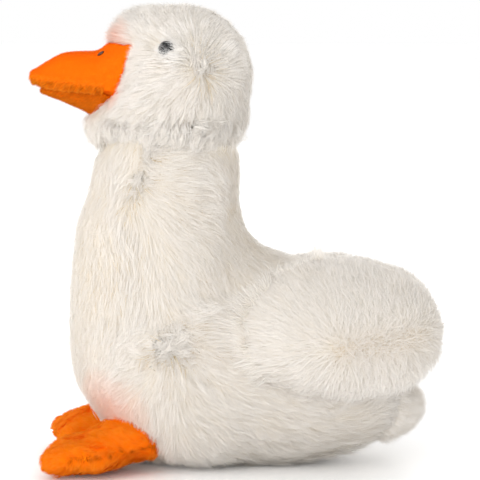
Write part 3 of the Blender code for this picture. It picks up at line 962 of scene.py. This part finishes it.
# Tail
# A small flat pad with a shorter, smoother pile, sewn across the rump.
TAIL_PILE_DEPTH = 0.0026
TAIL_PILE_LENGTH = 0.0100
RUMP_START = 0.076
RUMP_END = 0.098
TAIL_ROOT_END = 0.118
# The pad's cloth is carried on over the rump, a little inside the body's own
body_points = [v.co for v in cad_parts["body"].data.vertices]
rump = [spot for spot in body_points if RUMP_START < spot.y < RUMP_END and abs(spot.x) < 0.034]
rump = [0.88 * spot + 0.12 * Vector((0.0, 0.0, 0.05)) for spot in rump if 0.020 < spot.z < 0.075]
stub = [v.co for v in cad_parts["tail"].data.vertices if v.co.y < TAIL_ROOT_END]
tail = stuffed(
    "tail_bag",
    "tail",
    depth=TAIL_PILE_DEPTH,
    voxel=0.0050,
    swell=0.0012,
    cloth=backing,
    onto=("body",),
    reach=[tuple(spot) for spot in rump + stub],
)
points = numbers(tail.data.vertices, "co")
share = np.where(points[:, 1] > RUMP_START, 1.0, bare(tail))
roots, raised = rooted(tail, 28000, share, seed=61)
chance = np.random.default_rng(24).random(len(roots))
hair(
    "tail_fur",
    roots,
    raised,
    way=np.tile(np.array([0.0, 1.0, -0.25]), (len(roots), 1)),
    length=np.full(len(roots), TAIL_PILE_LENGTH),
    lift=0.24 + 0.05 * ripple(roots, 0.018, 12),
    width=0.00036,
    tuft=26,
    gather=0.08,
    tone=plain(chance),
    coat=white_fur,
    slot="white_fur",
    seed=62,
    bent=False,
)

# Bill
# Two stuffed halves of orange velour. The upper one is domed and its lower edge is turned
# and gathered into a soft rolled hem that overhangs the lower one.
VELOUR_PILE = 0.0017
HEM_PILE = 0.0024
GATHER_SPACING = 0.0048
# The upper half's cloth is cut blunt at the tip, arched before the nostrils and low behind
TIP_RISE = 0.0030
RIDGE_ARCH = 0.0012
LOWER_RISE = 0.0030
LOWER_THROAT = 0.0020
# Where each half's cloth reaches the head's fur, from the top down
UPPER_ENDS = (
    (0.0000, -0.0810, 0.2700),
    (0.0110, -0.0785, 0.2697),
    (0.0220, -0.0680, 0.2690),
    (0.0255, -0.0650, 0.2660),
    (0.0240, -0.0700, 0.2590),
    (0.0205, -0.0755, 0.2510),
    (0.0205, -0.0795, 0.2440),
    (0.0180, -0.0815, 0.2375),
)
LOWER_ENDS = (
    (0.0170, -0.0820, 0.2350),
    (0.0180, -0.0860, 0.2290),
    (0.0150, -0.0885, 0.2240),
    (0.0000, -0.0900, 0.2235),
)


def above_hem(points):
    """The height over the middle of the upper half's turned edge, which rises to the tip."""
    return points[:, 2] - (0.237 + 0.007 * (-points[:, 1] - 0.058) / 0.073) - 0.0004


def rolled(points, normals):
    """Arch the ridge before the nostrils, blunt the tip and gather the turned edge into a roll."""
    y = points[:, 1]
    hem = fading(above_hem(points), 0.0030) * (y < -0.088)
    crimp = 0.0013 + 0.0006 * np.sin(y * math.tau / GATHER_SPACING)
    made = points + (hem * crimp)[:, None] * normals
    high = ramp(above_hem(points), 0.0026, 0.0126)
    made[:, 2] += RIDGE_ARCH * high * (fading(y + 0.113, 0.010) - fading(y + 0.091, 0.010))
    made[:, 2] += TIP_RISE * ramp(y, -0.118, -0.130)
    return made


def closed(points, normals):
    """Bring the lower half's upper face up to the upper half, and fill out its throat."""
    made = points + np.array([0.0, 0.0, LOWER_RISE]) * np.clip(normals[:, 2:], 0.0, 1.0)
    made[:, 2] -= LOWER_THROAT * ramp(points[:, 1], -0.112, -0.094) * (-normals[:, 2]).clip(0.0, 1.0)
    return made


for name, hairs, ends, form in (
    ("upper_bill", 44000, UPPER_ENDS, rolled),
    ("lower_bill", 20000, LOWER_ENDS, closed),
):
    solid = [tuple(v.co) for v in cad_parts[name].data.vertices if v.co.y > -0.089]
    bill = stuffed(
        name + "_bag",
        name,
        depth=0.0009,
        voxel=0.0022,
        swell=0.0004,
        cloth=orange_ground,
        onto=("head",),
        shape=form,
        reach=solid + [(sign * x, y, z) for x, y, z in ends for sign in (1.0, -1.0)],
    )
    roots, raised = rooted(bill, hairs, bare(bill), seed=71)
    chance = np.random.default_rng(25).random(hairs)
    if name == "upper_bill":
        hem = fading(above_hem(roots), 0.0034) * (roots[:, 1] < -0.084)
        tone = 0.15 * chance + hem * (0.45 + 0.5 * chance)
    else:
        hem = np.full(hairs, 0.35)
        tone = 0.68 + 0.30 * chance
    way = np.tile(np.array([0.0, -0.8, -0.2]), (hairs, 1))
    way[:, 2] -= 0.9 * hem
    way[:, 1] += 0.5 * hem * np.sin(roots[:, 1] * math.tau / GATHER_SPACING)
    hair(
        name + "_pile",
        roots,
        raised,
        way,
        length=VELOUR_PILE + HEM_PILE * hem,
        lift=0.66 + 0.25 * hem * ripple(roots, 0.004, 13),
        width=0.00032,
        tuft=14,
        gather=0.08 + 0.55 * hem,
        tone=tone,
        coat=velour,
        slot="orange_velour",
        seed=72,
        bent=False,
    )

# Nostrils
# A single satin stitch of dark brown thread on each side of the bill's ridge.
THREADS = 7
THREAD_SPACING = 0.00030
THREAD_WIDTH = 0.00040
THREAD_HEIGHT = 0.0009
STITCH_LENGTH = 0.0054
NOSTRIL = (0.0125, -0.0880, 0.2630)
PLY_MM = 1.43

# Rayon satin thread: dark brown, with a soft gloss painted as lighter bands along its plies
thread, tree, shader = surface("satin_stitch_thread", 0.45)
spot = add(tree, "ShaderNodeTexCoord").outputs["Object"]
plies = add(tree, "ShaderNodeTexWave", Vector=spot, Scale=1000.0 / PLY_MM, Distortion=1.0)
brown_and_painted_sheen = graded(tree, plies.outputs["Color"], (0.0, "2A1608"), (1.0, "5A3418"))
tree.links.new(brown_and_painted_sheen, shader.inputs["Base Color"])
skin = bpy.data.objects["upper_bill_bag"].data
walls = BVHTree.FromPolygons([v.co for v in skin.vertices], [p.vertices for p in skin.polygons])
forward = Vector((0.0, -1.0, -0.25))
for hand, side in (("left", 1.0), ("right", -1.0)):
    spot, facing, _, _ = walls.find_nearest(Vector((side * NOSTRIL[0], NOSTRIL[1], NOSTRIL[2])))
    ahead = (forward - forward.dot(facing) * facing).normalized()
    across = ahead.cross(facing)
    turned_so = Matrix((ahead, across, facing)).transposed().to_4x4()
    stitch = bmesh.new()
    for row in range(THREADS):
        offset = (row - THREADS // 2) * THREAD_SPACING
        long = STITCH_LENGTH - 1.6 * abs(offset)
        sized = Matrix.Diagonal((long, THREAD_WIDTH, THREAD_HEIGHT, 1.0))
        at = Matrix.Translation(spot + offset * across + 0.0010 * facing)
        ring = bmesh.ops.create_uvsphere(stitch, u_segments=8, v_segments=6, radius=0.5)["verts"]
        bmesh.ops.transform(stitch, matrix=at @ turned_so @ sized, verts=ring)
    mesh = bpy.data.meshes.new(hand + "_nostril_stitch")
    stitch.to_mesh(mesh)
    stitch.free()
    mesh.shade_smooth()
    mesh.materials.append(thread)
    piece = bpy.data.objects.new(hand + "_nostril_stitch", mesh)
    bpy.context.collection.objects.link(piece)
    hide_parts(hand + "_nostril")
    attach(piece, "root")

# Eyes
# Polished black acrylic buttons on ribbed shanks, held from inside by nylon lock washers.
DUST_MM = 2.0
MOULD_GRAIN_MM = 1.11

# Polished black acrylic: a clear gloss with one sharp highlight
acrylic = mottled("polished_black_acrylic", 0.07, DUST_MM, "08080A", "141416", IOR=1.49)

# Nylon as moulded: white, half matt
nylon = mottled("moulded_white_nylon", 0.42, MOULD_GRAIN_MM, "E4E4E0", "F2F2EE", IOR=1.53)
for hand in ("left", "right"):
    for node, finish in ((hand + "_eye", acrylic), (hand + "_eye_washer", nylon)):
        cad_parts[node].data.materials.clear()
        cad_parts[node].data.materials.append(finish)

# Feet
# Flat stuffed feet of orange plush with three blunt toes, made of a top and a sole panel
# joined by a seam along the side.
FOOT_PILE_LENGTH = 0.0050
TOE_WHORL_LINE = ((0.0620, -0.1028, 0.0152), (0.0610, -0.0980, 0.0158))
FOOT_MIDDLE = (0.034, -0.060, 0.020)
SEAM_HEIGHT = 0.0165
SEAM_RISE = 0.10
SEAM_DEPTH = 0.0012
HEEL_LIFT = 0.0030
WEB_DEPTH = 0.0028


def above_seam(points):
    """The height over the side seam, which falls a little towards the toes."""
    return points[:, 2] - (SEAM_HEIGHT + SEAM_RISE * (points[:, 1] + 0.080))


def plumped(points, normals, instep):
    """Draw the side seam in, lift the heel, fill the instep out and sink the web between toes."""
    x, y, _ = points.T
    seam = fading(above_seam(points), 0.0022) * (y > -0.104)
    made = points - SEAM_DEPTH * seam[:, None] * normals
    topside = normals[:, 2].clip(0.0, 1.0)
    web = fading(np.abs(x) - 0.044, 0.005) * ramp(y, -0.092, -0.107)
    made[:, 2] += HEEL_LIFT * ramp(y, -0.085, -0.065) - WEB_DEPTH * web * topside
    made[:, 2] += instep * fading(y + 0.098, 0.014) * topside
    return made


# The far foot's pile is painted lighter, as painted light
for hand, side, instep, painted_light in (("left", 1.0, 0.0005, 0.0), ("right", -1.0, 0.0045, 0.10)):
    foot = stuffed(
        hand + "_foot_bag",
        hand + "_foot",
        depth=0.0016,
        voxel=0.0042,
        swell=0.0008,
        cloth=orange_ground,
        onto=("body",),
        shape=lambda points, normals: plumped(points, normals, instep),
    )
    flip = np.array([side, 1.0, 1.0])
    for kind, count, size, bent in (("pile", 11000, 1.0, True), ("nap", 22000, 0.8, False)):
        roots, raised = rooted(foot, count, bare(foot), seed=81 + bent)
        # The pile runs outwards, away from the seam and from the whorl on the toes
        off, gap = parting(roots, *TOE_WHORL_LINE, 0.0015)
        way = unit(roots * flip - np.array(FOOT_MIDDLE)) * flip
        way[:, 2] += 0.4 * np.tanh(above_seam(roots) / 0.003)
        way += 1.1 * fading(gap, 0.009)[:, None] * off
        way += 0.8 * ripple(roots, 0.020, 14)[:, None] * np.cross(unit(way), raised)
        closing = fading(above_seam(roots), 0.0014) * (roots[:, 1] > -0.104)
        chance = np.random.default_rng(26).random(count)
        # The tint wanders at random, darkens along the side seam and on faces turned down as painted
        # shade, and is lighter on the far foot as painted light
        tone = 0.42 - painted_light + 0.16 * chance + 0.16 * ripple(roots, 0.0045, 20)
        tone += 0.35 * closing + 0.05 * (-raised[:, 2]).clip(0.0, 1.0)
        hair(
            hand + "_foot_" + kind,
            roots,
            raised,
            way,
            length=size * FOOT_PILE_LENGTH * (1.0 - 0.35 * closing),
            lift=0.42 + 0.14 * ripple(roots, 0.008, 15),
            width=0.00038,
            tuft=22,
            gather=0.55,
            tone=tone,
            coat=velour,
            slot="orange_velour",
            seed=82 + bent,
            bent=bent,
        )

# Studio
# A plain white floor, a soft lamp high in front of the goose, and even light all round.
TARGET = Vector((0.0, 0.0, 0.1424))
CAMERA_DISTANCE = 1.7
CAMERA_TILT = math.radians(8.0)
floor_mesh = bpy.data.meshes.new("floor")
floor_mesh.from_pydata([(-4, -4, 0), (4, -4, 0), (4, 4, 0), (-4, 4, 0)], [], [(0, 1, 2, 3)])
floor = bpy.data.objects.new("floor", floor_mesh)
bpy.context.collection.objects.link(floor)

# Matt white paper: what looks at it or mirrors it sees plain white, and it still takes a shadow
paper, tree, shader = surface("matt_white_paper", 0.9)
path = add(tree, "ShaderNodeLightPath")
seen = path.outputs["Is Camera Ray"]
for ray in ("Is Glossy Ray", "Is Transmission Ray"):
    either = add(tree, "ShaderNodeMath", {"operation": "MAXIMUM"})
    tree.links.new(seen, either.inputs[0])
    tree.links.new(path.outputs[ray], either.inputs[1])
    seen = either.outputs[0]
shown = add(tree, "ShaderNodeMix", {"data_type": "RGBA"}, Factor=seen)
shown.inputs[6].default_value = linear("F8F8F8")
shown.inputs[7].default_value = linear("FFFFFF")
tree.links.new(shown.outputs[2], shader.inputs["Base Color"])
floor_mesh.materials.append(paper)

world = bpy.data.worlds.new("studio")
bpy.context.scene.world = world
world.use_nodes = True
world.node_tree.nodes["Background"].inputs["Color"].default_value = linear("FFFFFF")
world.node_tree.nodes["Background"].inputs["Strength"].default_value = 1.0


def lamp(name, spot, size, power):
    """A round soft lamp that faces the goose."""
    light = bpy.data.lights.new(name, "AREA")
    light.shape = "DISK"
    light.size = size
    light.energy = power
    made = bpy.data.objects.new(name, light)
    aim = Vector((0.0, 0.0, 0.14)) - Vector(spot)
    made.matrix_world = Matrix.Translation(spot) @ aim.to_track_quat("-Z", "Y").to_matrix().to_4x4()
    bpy.context.collection.objects.link(made)


lamp("key", (1.45, -1.05, 0.8), size=1.5, power=12.5)
lamp("fill", (1.6, -0.4, 0.34), size=0.6, power=5.5)
lamp("far_fill", (-1.6, 0.5, 0.8), size=1.5, power=11.0)

lens = bpy.data.cameras.new("camera")
lens.sensor_width = 36.0
lens.lens = 201.7
lens.clip_end = 20.0
camera = bpy.data.objects.new("camera", lens)
bpy.context.collection.objects.link(camera)
stand = TARGET + CAMERA_DISTANCE * Vector((math.cos(CAMERA_TILT), 0.0, math.sin(CAMERA_TILT)))
turned = (TARGET - stand).to_track_quat("-Z", "Y").to_matrix().to_4x4()
camera.matrix_world = Matrix.Translation(stand) @ turned
bpy.context.scene.camera = camera
bpy.context.scene.view_settings.view_transform = "Standard"
